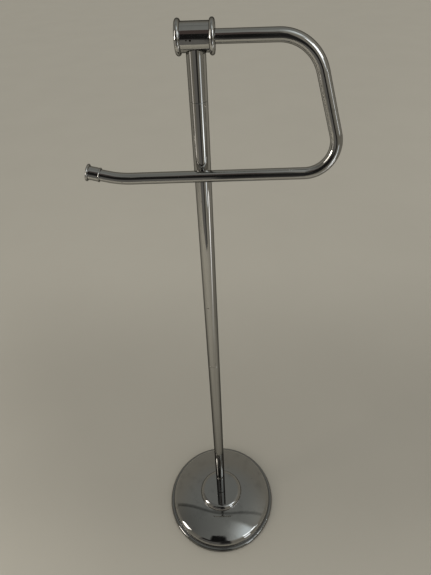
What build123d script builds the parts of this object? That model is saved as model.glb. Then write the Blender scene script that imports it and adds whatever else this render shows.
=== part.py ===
from build123d import *

import math
import os

# A free-standing holder for one paper roll, made of chromed steel tube: a weighted round base,
# a pole in two screwed lengths, and a head in which a bent arm swings.
# Millimetres, +Z up. The origin is on the floor at the middle of the base, +X runs along the
# head towards the side where the arm leaves it, and the front is -Y.

# Base: a pressed sheet cover over a cast weight, standing on a soft pad.
base_diameter = 154.0
sheet_thickness = 0.8
rim_floor_gap = 0.6
lip_height = 4.6
lip_width = 4.8
lip_edge_radius = 2.6
lip_root_radius = 0.5
dome_edge_height = 11.0
dome_edge_radius = 7.5
dome_radius = 140.0
boss_foot_diameter = 60.0
boss_foot_height = 22.0
boss_foot_radius = 0.8
boss_top_diameter = 56.0
boss_height = 27.0
boss_top_radius = 6.5
pad_thickness = 2.0
weight_side_clearance = 1.2
weight_top_clearance = 1.0
weight_hub_diameter = 44.0
weight_rim_height = 6.0
weight_pocket_diameter = 24.0
weight_pocket_depth = 8.0
weight_edge_chamfer = 0.8

# Pole: tubes with threaded inserts pressed into their ends and studs between them.
pole_diameter = 12.0
pole_wall = 1.0
lower_pole_length = 300.0
upper_pole_length = 265.0
neck_length = 35.6
tube_end_break = 0.25
joint_edge_break = 0.12
insert_length = 16.0
thread_diameter = 6.0
stud_reach = 13.0
stud_chamfer = 0.6
press_clearance = 0.02
thread_clearance = 0.05
hole_clearance = 0.3

# Bolt and washers that pull the pole down onto the base.
bolt_head_across_flats = 10.0
bolt_head_height = 4.0
bolt_thread_reach = 14.0
flat_washer_diameter = 18.0
flat_washer_thickness = 1.6
lock_washer_diameter = 11.8
lock_washer_thickness = 1.6
lock_washer_split = 1.2

# Head: a sleeve across the top of the pole, with a beaded ring at each end.
head_diameter = 16.4
head_wall = 1.5
sleeve_length = 16.6
bead_diameter = 19.6
bead_width = 3.2
spigot_length = 2.5
spigot_wall = 1.25
ring_bore_clearance = 0.3
braze_gap = 0.02
bush_length = 9.0
running_clearance = 0.05

# Arm: one bent tube in a flat plane, hung from the head and resting against the pole.
arm_diameter = 8.0
arm_wall = 0.8
arm_drop = 83.5
arm_upper_corner = 69.4
arm_upper_bend = 29.0
arm_lower_corner = 96.0
arm_lower_bend = 19.2
arm_lower_fall_angle = 1.0
arm_rest_gap = 0.3
arm_end_float = 0.3
tip_corner = 57.6
tip_bend = 69.0
tip_rise_angle = 13.3
tip_run = 21.5

# Pieces in the ends of the arm.
plug_length = 12.0
screw_diameter = 4.0
screw_reach = 10.0
screw_head_diameter = 8.0
screw_head_height = 2.6
screw_socket_across_flats = 2.5
screw_socket_depth = 1.6
pivot_washer_diameter = 12.0
pivot_washer_thickness = 1.0
tip_cap_diameter = 9.4
tip_cap_length = 9.4
tip_cap_grip = 8.3
tip_flange_diameter = 11.9
tip_flange_width = 1.4
tip_bead_diameter = 10.0
tip_bead_width = 1.0

# Heights up the pole, from the floor.
foot_height = boss_height
joint_height = foot_height + lower_pole_length
neck_height = joint_height + upper_pole_length
head_height = neck_height + neck_length

# Radii that more than one piece takes its fit from.
lip_radius = base_diameter / 2
wall_radius = lip_radius - lip_width
pole_radius = pole_diameter / 2
pole_bore_radius = pole_radius - pole_wall
thread_radius = thread_diameter / 2
tapped_radius = thread_radius + thread_clearance
clear_radius = thread_radius + hole_clearance
head_radius = head_diameter / 2
head_bore_radius = head_radius - head_wall
arm_radius = arm_diameter / 2
arm_bore_radius = arm_radius - arm_wall
bead_radius = bead_diameter / 2
spigot_radius = head_bore_radius - press_clearance

# Places along the head's axis.
sleeve_end = sleeve_length / 2
spigot_end = sleeve_end - spigot_length
head_end = sleeve_end + bead_width
bush_end = spigot_end - bush_length
arm_end = bush_end - arm_end_float
washer_end = arm_end - pivot_washer_thickness
screw_end = washer_end - screw_head_height

# The arm leans forward just enough for its lower run to lie against the front of the pole.
lean = math.degrees(math.asin((pole_radius + arm_radius + arm_rest_gap) / arm_drop))
head_plane = Plane(origin=(0, 0, head_height), x_dir=(0, 1, 0), z_dir=(1, 0, 0))
arm_plane = Plane(
    origin=(0, 0, head_height),
    x_dir=(1, 0, 0),
    z_dir=(0, -math.cos(math.radians(lean)), math.sin(math.radians(lean))),
)

# Heights of the stack under the boss.
cover_underside = boss_height - sheet_thickness
pocket_roof = pad_thickness + weight_pocket_depth
flat_washer_base = pocket_roof - flat_washer_thickness
lock_washer_base = flat_washer_base - lock_washer_thickness


def corner(line, radial, height):
    """The vertex of a profile nearest to a point given by its radius and height."""
    return line.vertices().sort_by_distance((radial, height))[0]


# Base cover: the pressed outline, closed along the pole's axis and below the rim, is hollowed by the
# sheet, trimmed to the bolt's hole and to the rim, and turned about the pole.
outline_foot = rim_floor_gap - lip_height
with BuildPart() as base_cover:
    with BuildSketch(Plane.XZ):
        with BuildLine() as cover_line:
            Polyline(
                (lip_radius, outline_foot),
                (0, outline_foot),
                (0, boss_height),
                (boss_top_diameter / 2, boss_height),
                (boss_foot_diameter / 2, boss_foot_height),
            )
            RadiusArc(
                (boss_foot_diameter / 2, boss_foot_height),
                (wall_radius, dome_edge_height),
                dome_radius,
            )
            Polyline(
                (wall_radius, dome_edge_height),
                (wall_radius, lip_height),
                (lip_radius, lip_height),
                (lip_radius, outline_foot),
            )
            fillet(corner(cover_line, boss_top_diameter / 2, boss_height), boss_top_radius)
            fillet(corner(cover_line, boss_foot_diameter / 2, boss_foot_height), boss_foot_radius)
            fillet(corner(cover_line, wall_radius, dome_edge_height), dome_edge_radius)
            fillet(corner(cover_line, wall_radius, lip_height), lip_root_radius)
            fillet(corner(cover_line, lip_radius, lip_height), lip_edge_radius)
        make_face()
        offset(amount=-sheet_thickness, mode=Mode.SUBTRACT)
        with Locations((clear_radius, rim_floor_gap)):
            Rectangle(lip_radius, boss_height, align=Align.MIN, mode=Mode.INTERSECT)
    revolve(axis=Axis.Z)

# Base weight: an iron casting, clamped up against the underside of the boss.
weight_radius = wall_radius - sheet_thickness - weight_side_clearance
weight_shoulder = boss_foot_height - sheet_thickness - weight_top_clearance
with BuildPart() as base_weight:
    with BuildSketch(Plane.XZ):
        with BuildLine():
            Polyline(
                (clear_radius, cover_underside),
                (weight_hub_diameter / 2, cover_underside),
                (weight_hub_diameter / 2, weight_shoulder),
                (weight_radius, pad_thickness + weight_rim_height),
                (weight_radius, pad_thickness),
                (weight_pocket_diameter / 2, pad_thickness),
                (weight_pocket_diameter / 2, pocket_roof),
                (clear_radius, pocket_roof),
                close=True,
            )
        make_face()
    revolve(axis=Axis.Z)
    chamfer(base_weight.edges().filter_by(GeomType.CIRCLE).sort_by(SortBy.RADIUS)[-2:], weight_edge_chamfer)

# Base pad: the soft disc that the holder stands on, glued under the weight.
with BuildPart() as base_pad:
    with BuildSketch(Plane.XY):
        Circle(weight_radius)
    extrude(amount=pad_thickness)

# Base bolt: hexagon head in the weight's pocket, thread up into the foot of the pole.
with BuildPart() as base_bolt:
    with BuildSketch(Plane.XY.offset(lock_washer_base - bolt_head_height)):
        RegularPolygon(bolt_head_across_flats / 2, 6, major_radius=False)
    extrude(amount=bolt_head_height)
    with BuildSketch(Plane.XY.offset(lock_washer_base)):
        Circle(thread_radius)
    extrude(amount=foot_height + bolt_thread_reach - lock_washer_base)
    chamfer(base_bolt.faces().sort_by(Axis.Z)[-1].edges(), stud_chamfer)

# Flat washer against the roof of the pocket.
with BuildPart() as base_flat_washer:
    with BuildSketch(Plane.XY.offset(flat_washer_base)):
        Circle(flat_washer_diameter / 2)
        Circle(clear_radius, mode=Mode.SUBTRACT)
    extrude(amount=flat_washer_thickness)

# Split lock washer under the bolt's head.
with BuildPart() as base_lock_washer:
    with BuildSketch(Plane.XY.offset(lock_washer_base)):
        Circle(lock_washer_diameter / 2)
        Circle(clear_radius, mode=Mode.SUBTRACT)
        Rectangle(
            lock_washer_diameter,
            lock_washer_split,
            align=(Align.MIN, Align.CENTER),
            mode=Mode.SUBTRACT,
        )
    extrude(amount=lock_washer_thickness)


def pole_tube(bottom, length, bottom_break, top_break):
    """A straight length of pole with lightly broken outer edges, which show as the seams."""
    with BuildPart() as tube:
        with BuildSketch(Plane.XY.offset(bottom)):
            Circle(pole_radius)
            Circle(pole_bore_radius, mode=Mode.SUBTRACT)
        extrude(amount=length)
        bottom_rim = tube.faces().sort_by(Axis.Z)[0].edges().sort_by(SortBy.RADIUS)[-1]
        chamfer(bottom_rim, bottom_break)
        top_rim = tube.faces().sort_by(Axis.Z)[-1].edges().sort_by(SortBy.RADIUS)[-1]
        chamfer(top_rim, top_break)
    return tube


def pole_insert(bottom):
    """A tapped plug, pressed into the end of a tube."""
    with BuildPart() as insert:
        with BuildSketch(Plane.XY.offset(bottom)):
            Circle(pole_bore_radius - press_clearance)
            Circle(tapped_radius, mode=Mode.SUBTRACT)
        extrude(amount=insert_length)
    return insert


def pole_stud(middle):
    """A threaded stud that screws into the inserts above and below a seam."""
    with BuildPart() as stud:
        with BuildSketch(Plane.XY.offset(middle - stud_reach)):
            Circle(thread_radius)
        extrude(amount=2 * stud_reach)
        chamfer(stud.edges().filter_by(GeomType.CIRCLE), stud_chamfer)
    return stud


lower_pole_tube = pole_tube(foot_height, lower_pole_length, tube_end_break, joint_edge_break)
upper_pole_tube = pole_tube(joint_height, upper_pole_length, joint_edge_break, tube_end_break)
lower_foot_insert = pole_insert(foot_height)
lower_top_insert = pole_insert(joint_height - insert_length)
upper_foot_insert = pole_insert(joint_height)
upper_top_insert = pole_insert(neck_height - insert_length)
neck_insert = pole_insert(neck_height)
joint_stud = pole_stud(joint_height)
neck_stud = pole_stud(neck_height)

# Neck: a short tube, coped at the top to sit round the sleeve that it is brazed to.
with BuildPart() as neck_tube:
    with BuildSketch(Plane.XY.offset(neck_height)):
        Circle(pole_radius)
        Circle(pole_bore_radius, mode=Mode.SUBTRACT)
    extrude(amount=neck_length)
    chamfer(
        neck_tube.faces().sort_by(Axis.Z)[0].edges().sort_by(SortBy.RADIUS)[-1],
        tube_end_break,
    )
    with BuildSketch(head_plane):
        Circle(head_radius + braze_gap)
    extrude(amount=pole_diameter, both=True, mode=Mode.SUBTRACT)

# Head sleeve: the tube across the top.
with BuildPart() as head_sleeve:
    with BuildSketch(head_plane):
        Circle(head_radius)
        Circle(head_bore_radius, mode=Mode.SUBTRACT)
    extrude(amount=sleeve_end, both=True)

# Section through the head's axis: first coordinate along +X, second the distance from the axis.
head_section = Plane(origin=(0, 0, head_height), x_dir=(1, 0, 0), z_dir=(0, -1, 0))
head_axis = Axis((0, 0, head_height), (1, 0, 0))

# Right ring: a rounded bead with a spigot in the sleeve and a clear hole for the arm.
ring_bore_radius = arm_radius + ring_bore_clearance
bead_face_radius = head_radius - head_wall / 2
with BuildPart() as head_ring:
    with BuildSketch(head_section):
        with BuildLine():
            Polyline(
                (head_end, bead_face_radius),
                (head_end, ring_bore_radius),
                (spigot_end, ring_bore_radius),
                (spigot_end, spigot_radius),
                (sleeve_end, spigot_radius),
                (sleeve_end, head_radius),
            )
            ThreePointArc(
                (sleeve_end, head_radius),
                (sleeve_end + bead_width / 2, bead_radius),
                (head_end, bead_face_radius),
            )
        make_face()
    revolve(axis=head_axis)

# Left cap: the same bead on a closed end, hollowed to clear the head of the pivot screw.
cap_floor = screw_end - arm_end_float
with BuildPart() as head_cap:
    with BuildSketch(head_section):
        with BuildLine():
            Polyline(
                (-head_end, bead_face_radius),
                (-head_end, 0),
                (cap_floor, 0),
                (cap_floor, spigot_radius - spigot_wall),
                (-spigot_end, spigot_radius - spigot_wall),
                (-spigot_end, spigot_radius),
                (-sleeve_end, spigot_radius),
                (-sleeve_end, head_radius),
            )
            ThreePointArc(
                (-sleeve_end, head_radius),
                (-sleeve_end - bead_width / 2, bead_radius),
                (-head_end, bead_face_radius),
            )
        make_face()
    revolve(axis=head_axis)

# Pivot bush: the plain bearing that the arm turns in.
with BuildPart() as pivot_bush:
    with BuildSketch(head_plane.offset(bush_end)):
        Circle(spigot_radius)
        Circle(arm_radius + running_clearance, mode=Mode.SUBTRACT)
    extrude(amount=bush_length)

# Arm tube: out of the head, down a slanted side, back across the pole and up a little at the tip.
rise = math.radians(tip_rise_angle)
fall = math.tan(math.radians(arm_lower_fall_angle))
tip_depth = arm_drop + tip_corner * fall
with BuildPart() as arm_tube:
    with BuildLine(arm_plane) as arm_path:
        FilletPolyline(
            (arm_end, 0),
            (arm_upper_corner, 0),
            (arm_lower_corner, arm_lower_corner * fall - arm_drop),
            (-tip_corner, -tip_depth),
            (-tip_corner - tip_run * math.cos(rise), tip_run * math.sin(rise) - tip_depth),
            radius=[arm_upper_bend, arm_lower_bend, tip_bend],
        )
    with BuildSketch(Plane(origin=arm_path.line @ 0, z_dir=arm_path.line % 0)):
        Circle(arm_radius)
        Circle(arm_bore_radius, mode=Mode.SUBTRACT)
    sweep(path=arm_path.line)

# Arm plug: tapped, pressed into the end of the arm inside the head.
with BuildPart() as arm_plug:
    with BuildSketch(head_plane.offset(arm_end)):
        Circle(arm_bore_radius - press_clearance)
        Circle(screw_diameter / 2 + thread_clearance, mode=Mode.SUBTRACT)
    extrude(amount=plug_length)

# Pivot washer: wider than the bush's bore, so it keeps the arm in the head.
with BuildPart() as pivot_washer:
    with BuildSketch(head_plane.offset(washer_end)):
        Circle(pivot_washer_diameter / 2)
        Circle(screw_diameter / 2 + hole_clearance, mode=Mode.SUBTRACT)
    extrude(amount=pivot_washer_thickness)

# Pivot screw: socket head against the washer, thread in the plug.
with BuildPart() as pivot_screw:
    with BuildSketch(head_plane.offset(screw_end)):
        Circle(screw_head_diameter / 2)
    extrude(amount=screw_head_height)
    with BuildSketch(head_plane.offset(washer_end)):
        Circle(screw_diameter / 2)
    extrude(amount=pivot_washer_thickness + screw_reach)
    with BuildSketch(head_plane.offset(screw_end)):
        RegularPolygon(screw_socket_across_flats / 2, 6, major_radius=False)
    extrude(amount=screw_socket_depth, mode=Mode.SUBTRACT)

# Tip cap: a short flanged cap pushed over the free end of the arm.
# Its section runs along the end of the arm's path, outwards from the mouth of the cap.
tip_plane = Plane(
    origin=(arm_path.line @ 1) - (arm_path.line % 1) * tip_cap_grip,
    x_dir=arm_path.line % 1,
    z_dir=arm_plane.z_dir,
)
tip_grip_radius = arm_radius + press_clearance
tip_cap_radius = tip_cap_diameter / 2
flange_start = tip_cap_length - tip_flange_width
with BuildPart() as arm_tip_cap:
    with BuildSketch(tip_plane):
        with BuildLine():
            Polyline(
                (tip_bead_width, tip_cap_radius),
                (flange_start, tip_cap_radius),
            )
            ThreePointArc(
                (flange_start, tip_cap_radius),
                (flange_start + tip_flange_width / 2, tip_flange_diameter / 2),
                (tip_cap_length, tip_cap_radius),
            )
            Polyline(
                (tip_cap_length, tip_cap_radius),
                (tip_cap_length, 0),
                (tip_cap_grip, 0),
                (tip_cap_grip, tip_grip_radius),
                (0, tip_grip_radius),
                (0, tip_cap_radius),
            )
            ThreePointArc(
                (0, tip_cap_radius),
                (tip_bead_width / 2, tip_bead_diameter / 2),
                (tip_bead_width, tip_cap_radius),
            )
        make_face()
    revolve(axis=Axis(tip_plane.origin, tip_plane.x_dir))

pieces = {
    "base_cover": base_cover,
    "base_weight": base_weight,
    "base_pad": base_pad,
    "base_bolt": base_bolt,
    "base_flat_washer": base_flat_washer,
    "base_lock_washer": base_lock_washer,
    "lower_pole_tube": lower_pole_tube,
    "lower_foot_insert": lower_foot_insert,
    "lower_top_insert": lower_top_insert,
    "joint_stud": joint_stud,
    "upper_pole_tube": upper_pole_tube,
    "upper_foot_insert": upper_foot_insert,
    "upper_top_insert": upper_top_insert,
    "neck_stud": neck_stud,
    "neck_tube": neck_tube,
    "neck_insert": neck_insert,
    "head_sleeve": head_sleeve,
    "head_ring": head_ring,
    "head_cap": head_cap,
    "pivot_bush": pivot_bush,
    "arm_tube": arm_tube,
    "arm_plug": arm_plug,
    "pivot_washer": pivot_washer,
    "pivot_screw": pivot_screw,
    "arm_tip_cap": arm_tip_cap,
}
os.makedirs("parts", exist_ok=True)
for label, piece in pieces.items():
    piece.part.label = label
    export_step(piece.part, f"parts/{label}.step")
print(f"head axis {head_height:.1f} mm above the floor, arm leans {lean:.2f} degrees")
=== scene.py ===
# %% [markdown]
# This is a free-standing paper roll holder: a round weighted base, a thin pole screwed together
# from two tubes and a short neck, and a bent arm that swings in a beaded head. All that shows is
# polished chrome. Chrome has hardly any colour of its own, so most of this lesson is about what it
# mirrors: the floor, soft lights on both sides and a few dark cards. The solids come from the CAD
# frame at true size, and nothing here moves them.

# %% Load the frame
import math

import bpy
from mathutils import Matrix, Vector


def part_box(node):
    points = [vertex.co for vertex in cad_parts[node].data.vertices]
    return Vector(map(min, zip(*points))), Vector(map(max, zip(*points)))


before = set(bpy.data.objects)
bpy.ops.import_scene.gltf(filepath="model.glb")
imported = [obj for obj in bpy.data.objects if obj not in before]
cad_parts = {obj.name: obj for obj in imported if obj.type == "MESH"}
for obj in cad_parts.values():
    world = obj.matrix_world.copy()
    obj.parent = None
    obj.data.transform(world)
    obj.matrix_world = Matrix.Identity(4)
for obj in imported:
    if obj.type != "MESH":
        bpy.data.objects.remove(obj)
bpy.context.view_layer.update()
scene = bpy.context.scene
scene.view_settings.view_transform = "Standard"

# %% [markdown]
# The picture was taken from just above the head, looking steeply down, which is why the base
# looks small. A camera is placed by its position and three angles: yaw to the side, pitch
# downwards, and a slight roll. Building its axes by hand keeps those angles readable, where a
# tracking constraint would hide the roll.

# %% Camera
camera_place = Vector((0.0235, -0.2828, 0.6855))
yaw, pitch, roll = (math.radians(angle) for angle in (-3.68, 41.72, -2.593))
ahead = Vector((math.sin(yaw) * math.cos(pitch), math.cos(yaw) * math.cos(pitch), -math.sin(pitch)))
level_right = Vector((math.cos(yaw), -math.sin(yaw), 0))
level_up = level_right.cross(ahead)
right = math.cos(roll) * level_right + math.sin(roll) * level_up
up = math.cos(roll) * level_up - math.sin(roll) * level_right
camera_data = bpy.data.cameras.new("camera")
camera_data.lens = 27.05
camera_data.sensor_width = 36
camera_data.clip_start = 0.01
camera = bpy.data.objects.new("camera", camera_data)
camera.matrix_world = Matrix((
    (right.x, up.x, -ahead.x, camera_place.x),
    (right.y, up.y, -ahead.y, camera_place.y),
    (right.z, up.z, -ahead.z, camera_place.z),
    (0, 0, 0, 1),
))
scene.collection.objects.link(camera)
scene.camera = camera
print("camera looks", round(math.degrees(pitch)), "degrees down")

# %% [markdown]
# Materials are node trees, and sums written as nodes are hard to read. So a small class wraps a
# socket and overloads the operators: a * 2 + b then adds the Math nodes by itself. One method
# makes any other node from its type, its settings and what goes into its sockets, and a few short
# methods call it for what is needed again and again.

# %% Shader helper


class Value:
    """A number that changes over a surface: an output socket with arithmetic."""

    def __init__(self, tree, socket):
        self.tree = tree
        self.socket = socket

    def math(self, operation, *others):
        """A Math node on this value and others."""
        node = self.tree.nodes.new("ShaderNodeMath")
        node.operation = operation
        for number, item in enumerate((self, *others)):
            plug(self.tree, item, node.inputs[number])
        return Value(self.tree, node.outputs[0])

    def __add__(self, other):
        return self.math("ADD", other)

    def __sub__(self, other):
        return self.math("SUBTRACT", other)

    def __rsub__(self, other):
        return (self * -1).math("ADD", other)

    def __mul__(self, other):
        return self.math("MULTIPLY", other)

    def __pow__(self, other):
        return self.math("POWER", other)

    def step(self, low, high):
        """0 below low, 1 above high, eased between; low above high turns it round."""
        node = self.tree.nodes.new("ShaderNodeMapRange")
        node.interpolation_type = "SMOOTHSTEP"
        start, end, flip = (low, high, False) if low < high else (high, low, True)
        plug(self.tree, self, node.inputs[0])
        node.inputs[1].default_value = start
        node.inputs[2].default_value = end
        node.inputs[3].default_value = 1 if flip else 0
        node.inputs[4].default_value = 0 if flip else 1
        return Value(self.tree, node.outputs[0])


def plug(tree, item, socket):
    """Links a socket's value, or sets a plain one."""
    if isinstance(item, Value):
        tree.links.new(item.socket, socket)
    else:
        socket.default_value = item


class Nodes:
    """A node tree that is filled by short calls."""

    def __init__(self, tree):
        self.tree = tree
        tree.nodes.clear()

    def make(self, kind, settings=None, out=0, **inputs):
        """Any node; an input is named by its label, or by in and its number."""
        node = self.tree.nodes.new("ShaderNode" + kind)
        for name, value in (settings or {}).items():
            setattr(node, name, value)
        for name, item in inputs.items():
            name = name.replace("_", " ")
            if name.startswith("in"):
                plug(self.tree, item, node.inputs[int(name[2:])])
            else:
                plug(self.tree, item, node.inputs[name])
        return Value(self.tree, node.outputs[out]) if node.outputs else None

    def place(self):
        """Object coordinates: metres in the frame of the whole holder."""
        return self.make("TexCoord", out="Object")

    def part(self, number, vector):
        """One part of a vector: 0 to the right, 1 to the back, 2 upwards."""
        return self.make("SeparateXYZ", out=number, in0=vector)

    def vector(self, operation, *vectors, out=0):
        """A vector worked out from others."""
        inputs = {f"in{number}": vector for number, vector in enumerate(vectors)}
        return self.make("VectorMath", {"operation": operation}, out, **inputs)

    def measure(self, operation, *vectors):
        """A number worked out from vectors: a length, a distance or a dot product."""
        return self.vector(operation, *vectors, out=1)

    def mix(self, factor, first, second):
        """A colour between two colours."""
        return self.make("Mix", {"data_type": "RGBA"}, out=2, in0=factor, in6=first, in7=second)

    def noise(self, scale, detail=2.0, roughness=0.5, vector=None):
        """A cloudy pattern from 0 to 1; scale is in features to the metre."""
        vector = vector or self.place()
        return self.make("TexNoise", Vector=vector, Scale=scale, Detail=detail, Roughness=roughness)

    def surface(self, shader):
        """Ends a material with its shader."""
        self.make("OutputMaterial", Surface=shader)

    def see_through(self, cover, shader):
        """Ends a material that is clear where cover is 0."""
        self.surface(self.make("MixShader", in0=cover, in1=self.make("BsdfTransparent"), in2=shader))


def new_material(name):
    """A new material, and its node tree to fill."""
    material = bpy.data.materials.new(name)
    material.use_nodes = True
    return material, Nodes(material.node_tree)


print("shader helper ready")

# %% [markdown]
# The floor is plain and pale, darker close round the base and away to the sides, as a floor is that
# is lit from behind and from the left. The pole mirrors the floor all the way down, so this slow
# change is what keeps the pole from looking flat. Lamps could make it, but each of them would also
# show in the chrome, so it is painted: each step below says where a paler or a darker stretch
# starts and where it is full, in metres near the base and by direction further out. One wide plane
# is enough, with a faint mottling so that it isn't one flat colour.

# %% Floor
floor_width = 160.0
dull_colour = (0.15, 0.141, 0.118, 1)
pale_colour = (0.4, 0.379, 0.322, 1)
near_base, back_gain, left_gain, front_gain, far_front_gain = 0.428, 0.276, 0.24, 0.16, 0.1
right_loss = 0.24
far_base, far_back_gain, far_right_gain = 0.06, 0.644, 0.14
mottling = 0.08
left_front = (-0.8, -0.6, 0.0)
bpy.ops.object.select_all(action="DESELECT")
bpy.ops.mesh.primitive_plane_add(size=floor_width)
floor = bpy.context.object
floor.name = "floor"
floor_material, n = new_material("pale floor")
spot = n.place()
aside = n.part(0, spot)
behind = n.part(1, spot)
heading = n.vector("NORMALIZE", spot)
toward_right = n.part(0, heading)
toward_back = n.part(1, heading)
lit = behind.step(0.15, 0.6) * back_gain
lit = lit + n.measure("DOT_PRODUCT", spot, left_front).step(0.1, 0.4) * left_gain
lit = lit + behind.step(0.03, -0.14) * front_gain + behind.step(-0.2, -0.4) * far_front_gain
shaded = aside.step(0.3, 0.42) * behind.step(0.12, -0.05) * right_loss
near = lit - shaded + near_base
far = toward_back.step(-0.1, 0.55) * far_back_gain + toward_right.step(0.2, 0.9) * far_right_gain + far_base
nearby = n.measure("LENGTH", spot).step(1.6, 0.6)
level = n.noise(5.0, 3.0) * mottling + nearby * near + (1 - nearby) * far
n.surface(n.make("BsdfDiffuse", Color=n.mix(level, dull_colour, pale_colour)))
floor.data.materials.append(floor_material)
print("floor", tuple(floor.dimensions))

# %% [markdown]
# The lights are tall soft panels, warm on the left and cool on the right, both in front. Polished
# metal shows their shapes as streaks, so they are meshes that glow, not lamps: their edges and
# their fade can be set. They don't show to the camera. Each side has a dim strip low down, which
# the tubes mirror, and brighter panels above it, which only the rounded edges of the base, the
# head and the bends catch.

# %% Soft lights


def sheet(name, width, length, tilt, turn, place):
    """A rectangle of the stage: flat at tilt 0, upright at 90, turned about the vertical."""
    bpy.ops.object.select_all(action="DESELECT")
    bpy.ops.mesh.primitive_plane_add(size=1)
    rectangle = bpy.context.object
    rectangle.name = name
    rectangle.dimensions = (width, length, 0)
    rectangle.rotation_euler = (math.radians(tilt), 0, math.radians(turn))
    rectangle.location = place
    bpy.ops.object.transform_apply()
    rectangle.visible_camera = False
    return rectangle


def soft_light(name, azimuth, distance, width, colour, levels, lights_floor=True):
    """A panel at a compass angle from the pole (0 behind, 90 right) that faces it and glows.

    levels are (height, strength) pairs, from the foot of the panel to its top.
    """
    bottom, top = levels[0][0], levels[-1][0]
    angle = math.radians(azimuth)
    place = (distance * math.sin(angle), distance * math.cos(angle), (bottom + top) / 2)
    panel = sheet(name, width, top - bottom, 90, -azimuth, place)
    material, n = new_material(name)
    ramp = n.make("ValToRGB", in0=n.part(2, n.place()) * (1 / top))
    stops = ramp.socket.node.color_ramp.elements
    while len(stops) < len(levels):
        stops.new(0.5)
    for stop, (height, strength) in zip(stops, levels):
        stop.position = height / top
        stop.color = tuple(strength * c for c in colour) + (1,)
    n.surface(n.make("Emission", Color=ramp, Strength=1.0))
    panel.data.materials.append(material)
    panel.visible_diffuse = lights_floor
    print(name, [round(size, 2) for size in panel.dimensions])


warm = (1.0, 0.93, 0.84)
cool = (0.94, 0.98, 1.0)
left_strip_levels = [(0.01, 1.0), (0.5, 0.85)]
left_light_levels = [(0.55, 13.0), (0.7, 13.0), (0.9, 4.0), (1.55, 2.6)]
right_strip_levels = [(0.01, 1.0), (0.12, 1.7), (0.21, 2.6), (0.335, 1.0), (0.42, 0.9)]
right_light_levels = [(0.78, 0.8), (0.95, 2.0), (1.15, 2.6), (1.45, 2.6), (1.66, 0.9)]
soft_light("left strip", -113, 1.12, 0.17, warm, left_strip_levels, lights_floor=False)
soft_light("left light", -113, 1.25, 0.3, warm, left_light_levels)
soft_light("right strip", 136, 0.85, 0.162, cool, right_strip_levels, lights_floor=False)
soft_light("right light", 131, 1.15, 0.3, cool, right_light_levels)
soft_light("side strip", 113, 1.1, 0.1, cool, [(0.58, 1.6), (0.8, 1.6)])
soft_light("small light", 117, 1.2, 0.2, cool, [(1.05, 3.6), (1.55, 2.4)])

# %% [markdown]
# The thin bright line down the right of the pole is a long reflection of light on the floor. A
# bright patch of floor paint would show in the picture, so the streak is a glowing strip just
# above the floor that only mirror rays see. It is faint near the base and full further out, and
# its edges fade, so the line is strong below the arm and dies away down the pole.

# %% Floor streak
streak_colour = (1.0, 0.99, 0.98, 1)
streak_strength = 2.6
streak_near, streak_far = 0.15, 0.9
streak_front, streak_back = -0.38, -0.22
streak_edge = 0.06
streak_height = 0.004
near_share, far_share = 0.07, 0.93
streak_place = ((streak_near + streak_far) / 2, (streak_front + streak_back) / 2, streak_height)
streak = sheet("floor streak", streak_far - streak_near, streak_back - streak_front, 0, 0, streak_place)
streak_material, n = new_material("floor streak")
along = n.part(0, n.place())
across = n.part(1, n.place())
cover = across.step(streak_front, streak_front + streak_edge)
cover = cover * across.step(streak_back, streak_back - streak_edge)
cover = cover * (along.step(0.05, 0.25) * near_share + along.step(0.25, 0.75) * far_share)
n.see_through(cover, n.make("Emission", Color=streak_colour, Strength=streak_strength))
streak.data.materials.append(streak_material)
streak.visible_diffuse = False
streak.visible_shadow = False
print("floor streak", [round(size, 2) for size in streak.dimensions])

# %% [markdown]
# Chrome in evenly lit surroundings looks like grey plastic: it needs something dark to mirror. In a
# studio a dark card hangs just behind the lens, another leans over it and darker screens stand
# further back, and so it is in this cell. Only mirror rays see them, so they cast no shadow and
# hide nothing. Their edges fade out, because a hard edge would show as a line on every tube.

# %% Dark cards


def dark_card(name, left, right, foot, head, paint, upper_paint=None, turn=None):
    """A card in front of the holder, from foot to head, which are (distance, height) pairs.

    A second paint, where there is one, takes over between the two heights in turn.
    """
    side_fade, end_fade = 0.05, 0.03
    back = foot[0] - head[0]
    rise = head[1] - foot[1]
    middle = ((left + right) / 2, -(foot[0] + head[0]) / 2, (foot[1] + head[1]) / 2)
    tilt = math.degrees(math.atan2(rise, back))
    card = sheet(name, right - left, math.hypot(back, rise), tilt, 0, middle)
    material, n = new_material(name)
    across = n.part(0, n.place())
    height = n.part(2, n.place())
    colour = paint + (1,)
    if upper_paint:
        colour = n.mix(height.step(*turn), colour, upper_paint + (1,))
    cover = across.step(left, left + side_fade) * across.step(right, right - side_fade)
    cover = cover * height.step(head[1], head[1] - end_fade)
    if foot[1] > 0:
        cover = cover * height.step(foot[1], foot[1] + end_fade)
    n.see_through(cover, n.make("Emission", Color=colour, Strength=1.0))
    card.data.materials.append(material)
    card.visible_diffuse = False
    card.visible_shadow = False
    print(name, tuple(round(size, 2) for size in card.dimensions))


lens_paint = (0.011, 0.0107, 0.0102)
hood_paint = (0.075, 0.058, 0.052)
screen_paint = (0.02, 0.0194, 0.0186)
left_foot_paint = (0.15, 0.143, 0.13)
right_foot_paint = (0.07, 0.067, 0.061)
dark_card("left lens card", -0.19, 0.05, (0.35, 0.61), (0.35, 0.86), lens_paint)
dark_card("right lens card", -0.04, 0.09, (0.36, 0.54), (0.36, 0.86), lens_paint)
dark_card("upper screen", -0.33, 0.2, (0.69, 1.15), (0.69, 1.46), lens_paint)
dark_card("hood", -0.15, 0.1, (0.335, 0.83), (0.59, 1.61), hood_paint)
left_paints = (left_foot_paint, screen_paint, (0.46, 0.62))
right_paints = (right_foot_paint, screen_paint, (0.1, 0.5))
dark_card("left screen", -0.5, 0.0, (0.64, 0.0), (0.64, 1.06), *left_paints)
dark_card("right screen", -0.06, 0.22, (0.65, 0.0), (0.65, 1.06), *right_paints)

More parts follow.
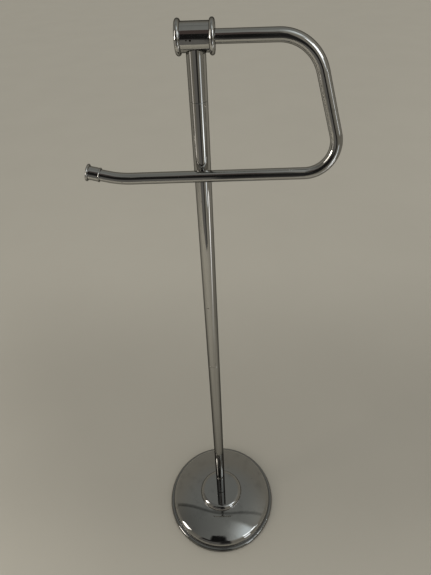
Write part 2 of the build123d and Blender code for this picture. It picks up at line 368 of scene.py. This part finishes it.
# %% [markdown]
# The world does two jobs, told apart by the Light Path node. The camera and the mirror rays both
# see dim pale surroundings: a little lighter near the horizon, with a bright glow high on the
# right that has one clear edge, a darker patch high on the left, and a thin dark line overhead.
# The dome of the base mirrors all of it, and without such forms it would look like a grey ball. A
# picture of a place would be the usual way, but lobes and steps on a direction need no file. Matt
# surfaces get an even light, so the floor is bright without hard shadows.

# %% World
world = bpy.data.worlds.new("studio")
world.use_nodes = True
scene.world = world
n = Nodes(world.node_tree)
direction = n.make("TexCoord", out="Generated")
upward = n.part(2, direction)


def lobe(toward, sharpness):
    """1 in one direction, falling off all round it."""
    facing = n.measure("DOT_PRODUCT", direction, Vector(toward).normalized())
    return facing.math("MAXIMUM", 0.0) ** sharpness


base_level, low_gain, glow_gain, right_gain = 0.23, 0.03, 0.83, 0.1
patch_loss, line_loss = 0.08, 0.12
overhead_tint = (1.0, 1.02, 0.95, 1)
low_tint = (1.0, 0.94, 0.79, 1)
glow_tint = (0.88, 0.98, 1.03, 1)
even_colour, even_strength = (1.0, 0.99, 0.97, 1), 0.95
backward = n.measure("DOT_PRODUCT", direction, (0.1, 1.0, 0.0))
past_edge = n.measure("DOT_PRODUCT", direction, (-0.342, -0.94, 0.0))
side_glow = lobe((0.47, -0.27, 0.84), 25) * past_edge.step(-0.05, 0.03) * glow_gain
right_side = lobe((0.62, 0.0, 0.78), 20) * right_gain
dim_patch = lobe((-0.6, -0.1, 0.78), 10) * backward.step(0.13, 0.09) * patch_loss
overhead_line = backward.step(0.08, 0.105) * backward.step(0.15, 0.125) * upward.step(0.5, 0.75) * line_loss
level = upward.step(0.95, 0.3) * low_gain + base_level + side_glow + right_side - dim_patch - overhead_line
tint = n.mix(side_glow, n.mix(upward.step(0.95, 0.6), overhead_tint, low_tint), glow_tint)
surroundings = n.make("Background", Color=tint, Strength=level)
even = n.make("Background", Color=even_colour, Strength=even_strength)
is_camera = n.make("LightPath", out="Is Camera Ray")
is_mirror = n.make("LightPath", out="Is Glossy Ray")
is_through = n.make("LightPath", out="Is Transmission Ray")
shows = (is_camera + is_mirror + is_through).math("MINIMUM", 1.0)
n.make("OutputWorld", Surface=n.make("MixShader", in0=shows, in1=even, in2=surroundings))
print("world ready")

# %% [markdown]
# Chrome plate. A mirror finish with the same gloss all over looks computed, so faint things are
# added: clouding from wiping, which spreads the reflections a little here and there, and the
# grain of the metal under the plate. A drawn tube has lengthwise lines and a turned piece has
# lines round it, so the grain is a noise squeezed along one direction. Where rust starts, there
# are tiny dark pits. The plate is also darker in a thin band at the foot of the pole, and painted
# shade darkens the lip of the base and two thin lines on it: in the crease where the dome meets
# the lip, and round the foot of the boss.
# Chromium mirrors a little less where it is seen aslant, which Specular Tint sets. On the tubes it
# is set much darker than chromium's own, because that draws the dark outline along each of them.

# %% Chrome
cloud_scale, fleck_scale, patch_scale, wave_scale = 38.0, 520.0, 120.0, 26.0
# the dark colour of rust pits, also used for the painted shade lines and the darker foot band
pit_and_shade_colour = (0.03, 0.024, 0.02, 1)
# share of the plate colour kept where the grain dulls it and where the lip is darkened as painted shade
dull_and_shade_share = 0.6
# the last blur roughens the rust pits and the painted shade lines alike
least_blur, cloud_blur, grain_blur, pit_and_shade_blur = 0.02, 0.04, 0.035, 0.4
grain_bump, grain_depth = 0.2, 0.0004
wave_bump, wave_depth = 0.02, 0.002


def chrome(name, colour, edge, grain, pit_chance=0.0, spots=(), rings=None, foot_dark=None):
    """A worn plate whose mirror darkens to the grey edge where it is seen aslant.

    grain is the squeeze, the scale and the strength of its lines; spots are (place, radius) of
    pits; rings holds the two radii over which the painted shade on the lip sets in, and a list of
    painted shade lines, each a radius, four distances from it (start, full, leaving, end) and an
    amount; the last argument darkens the plate in a band, full at the first of two heights and gone
    at the second.
    """
    squeeze, grain_scale, strength = grain
    material, n = new_material(name)
    place = n.place()
    cloud = n.noise(cloud_scale, 4.0, 0.6).step(0.42, 0.75)
    lines = n.noise(grain_scale, 3.0, 0.6, n.vector("MULTIPLY", place, squeeze))
    dull_and_shade = lines.step(0.5, 0.72) * strength
    fleck = n.make("TexVoronoi", Vector=place, Scale=fleck_scale)
    pit_and_shade = fleck.step(0.2, 0.1) * n.noise(patch_scale, 1.0).step(0.68 - pit_chance, 0.72 - pit_chance)
    for spot, radius in spots:
        pit_and_shade = pit_and_shade.math("MAXIMUM", n.measure("DISTANCE", place, spot).step(radius, radius * 0.6))
    if rings:
        rim, shade_lines = rings
        from_axis = n.measure("LENGTH", n.vector("MULTIPLY", place, (1.0, 1.0, 0.0)))
        # painted shade: the plate is darkened over the lip, outside the rim radius
        dull_and_shade = dull_and_shade.math("MAXIMUM", from_axis.step(*rim))
        # painted shade: a thin dark line at each given radius
        for radius, (start, full, leaving, end), amount in shade_lines:
            outward = from_axis - radius
            pit_and_shade = pit_and_shade.math("MAXIMUM", outward.step(start, full) * outward.step(end, leaving) * amount)
    # the plate is darker in a band low on the piece, full at the first height and gone at the second
    if foot_dark:
        full_height, end_height = foot_dark
        pit_and_shade = pit_and_shade.math("MAXIMUM", n.part(2, place).step(end_height, full_height))
    plate = n.mix(dull_and_shade, colour, tuple(dull_and_shade_share * c for c in colour[:3]) + (1,))
    bump = n.make("Bump", Strength=grain_bump * strength, Distance=grain_depth, Height=lines)
    swell = n.noise(wave_scale, 1.0)
    wave = n.make("Bump", Strength=wave_bump, Distance=wave_depth, Height=swell, Normal=bump)
    n.surface(n.make(
        "BsdfPrincipled",
        Base_Color=n.mix(pit_and_shade, plate, pit_and_shade_colour),
        Metallic=1.0,
        Roughness=cloud * cloud_blur + lines * grain_blur + pit_and_shade * pit_and_shade_blur + least_blur,
        Specular_Tint=(edge, edge, 0.98 * edge, 1),
        Normal=wave,
    ))
    return material


def finish(material, *nodes):
    """Gives one material to some of the solids."""
    for node in nodes:
        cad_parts[node].material_slots[0].material = material
    print(material.name, "on", ", ".join(nodes))


base_plate = (0.41, 0.408, 0.4, 1)
bright_plate = (0.53, 0.526, 0.513, 1)
base_edge, tube_edge = 0.9, 0.08
base_grain = ((1.0, 1.0, 1.0), 60.0, 0.3)
pole_grain = ((1.0, 1.0, 0.012), 420.0, 0.3)
head_grain = ((1.0, 0.05, 0.05), 500.0, 0.1)
arm_grain = ((0.012, 1.0, 1.0), 420.0, 0.3)
print("plate colours", base_plate[:3], bright_plate[:3])

# %% [markdown]
# Each chromed piece now gets its plate. Its marks could be painted by hand, but then they would
# stay behind when a size changes. So most of their places are measured from the solids: the
# painted shade on the lip and in the crease beside it from the edge of the base, the darker band
# from the foot of the pole and two pits from the middle of the sleeve.

# %% Chromed pieces
base_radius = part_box("base_cover")[1].x
wall_radius = base_radius - 0.0048
boss_foot_radius = 0.03
# painted shade: the lip of the base is darkened from just outside the wall of the dome
shaded_rim = (wall_radius + 0.0016, wall_radius + 0.0033)
# painted shade: a thin dark line in the crease where the dome meets the lip, and a fainter one round the
# foot of the boss
wall_crease_shade = (wall_radius, (-0.0003, 0.0001, 0.0013, 0.0021), 0.6)
boss_foot_shade = (boss_foot_radius, (-0.0006, -0.0002, 0.0004, 0.001), 0.32)
pole_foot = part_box("lower_pole_tube")[0].z
# the plate is darker in a thin band at the foot of the pole
pole_foot_dark = (pole_foot + 0.0006, pole_foot + 0.0014)
pole_spots = [((-0.0019, -0.0057, 0.4127), 0.0008)]
sleeve_low, sleeve_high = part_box("head_sleeve")
sleeve_front = sleeve_low.y
head_height = (sleeve_low.z + sleeve_high.z) / 2
sleeve_spots = [
    ((-0.00235, sleeve_front, head_height - 0.00018), 0.00072),
    ((-0.0046, sleeve_front, head_height - 0.00011), 0.00052),
]
finish(
    chrome("base chrome", base_plate, base_edge, base_grain, rings=(shaded_rim, [wall_crease_shade, boss_foot_shade])),
    "base_cover",
)
finish(
    chrome("pole chrome", bright_plate, tube_edge, pole_grain, 0.03, pole_spots, foot_dark=pole_foot_dark),
    "lower_pole_tube",
    "upper_pole_tube",
    "neck_tube",
)
finish(
    chrome("head chrome", bright_plate, tube_edge, head_grain, spots=sleeve_spots),
    "head_sleeve",
    "head_ring",
    "head_cap",
)
finish(chrome("arm chrome", bright_plate, tube_edge, arm_grain, 0.02), "arm_tube", "arm_tip_cap")

# %% [markdown]
# The pieces inside don't show while the holder stands, but they are real pieces with real
# finishes: bright zinc on the fasteners, dark cast iron in the base, foam rubber under it and
# nylon round the pivot. One plain colour each would do for a picture, but a reader may take the
# holder apart, so each gets the detail that its making leaves.

# %% Inner finishes


def zinc_plate():
    material, n = new_material("bright zinc")
    patch = n.noise(160.0, 3.0)
    tint = n.mix(patch.step(0.35, 0.7), (0.5, 0.51, 0.5, 1), (0.62, 0.61, 0.56, 1))
    bump = n.make("Bump", Strength=0.1, Distance=0.0003, Height=n.noise(900.0, 2.0))
    rough = patch * 0.2 + 0.22
    n.surface(n.make("BsdfPrincipled", Base_Color=tint, Metallic=1.0, Roughness=rough, Normal=bump))
    return material


def cast_iron():
    material, n = new_material("painted cast iron")
    lumps = n.noise(220.0, 5.0, 0.65)
    tint = n.mix(lumps, (0.018, 0.018, 0.019, 1), (0.05, 0.048, 0.046, 1))
    bump = n.make("Bump", Strength=0.5, Distance=0.0008, Height=lumps)
    n.surface(n.make("BsdfPrincipled", Base_Color=tint, Roughness=lumps * 0.2 + 0.5, Normal=bump))
    return material


def foam_rubber():
    material, n = new_material("black foam rubber")
    cells = n.make("TexVoronoi", Vector=n.place(), Scale=900.0)
    tint = n.mix(cells, (0.035, 0.035, 0.036, 1), (0.012, 0.012, 0.012, 1))
    bump = n.make("Bump", Strength=0.6, Distance=0.0004, Height=cells)
    n.surface(n.make("BsdfPrincipled", Base_Color=tint, Roughness=cells * 0.1 + 0.85, Normal=bump))
    return material


def nylon():
    material, n = new_material("white nylon")
    haze = n.noise(300.0, 2.0)
    tint = n.mix(haze, (0.72, 0.71, 0.66, 1), (0.8, 0.79, 0.75, 1))
    n.surface(n.make("BsdfPrincipled", Base_Color=tint, Roughness=haze * 0.1 + 0.38))
    return material


finish(
    zinc_plate(),
    "base_bolt",
    "base_flat_washer",
    "base_lock_washer",
    "lower_foot_insert",
    "lower_top_insert",
    "joint_stud",
    "upper_foot_insert",
    "upper_top_insert",
    "neck_stud",
    "neck_insert",
    "arm_plug",
    "pivot_washer",
    "pivot_screw",
)
finish(cast_iron(), "base_weight")
finish(foam_rubber(), "base_pad")
finish(nylon(), "pivot_bush")
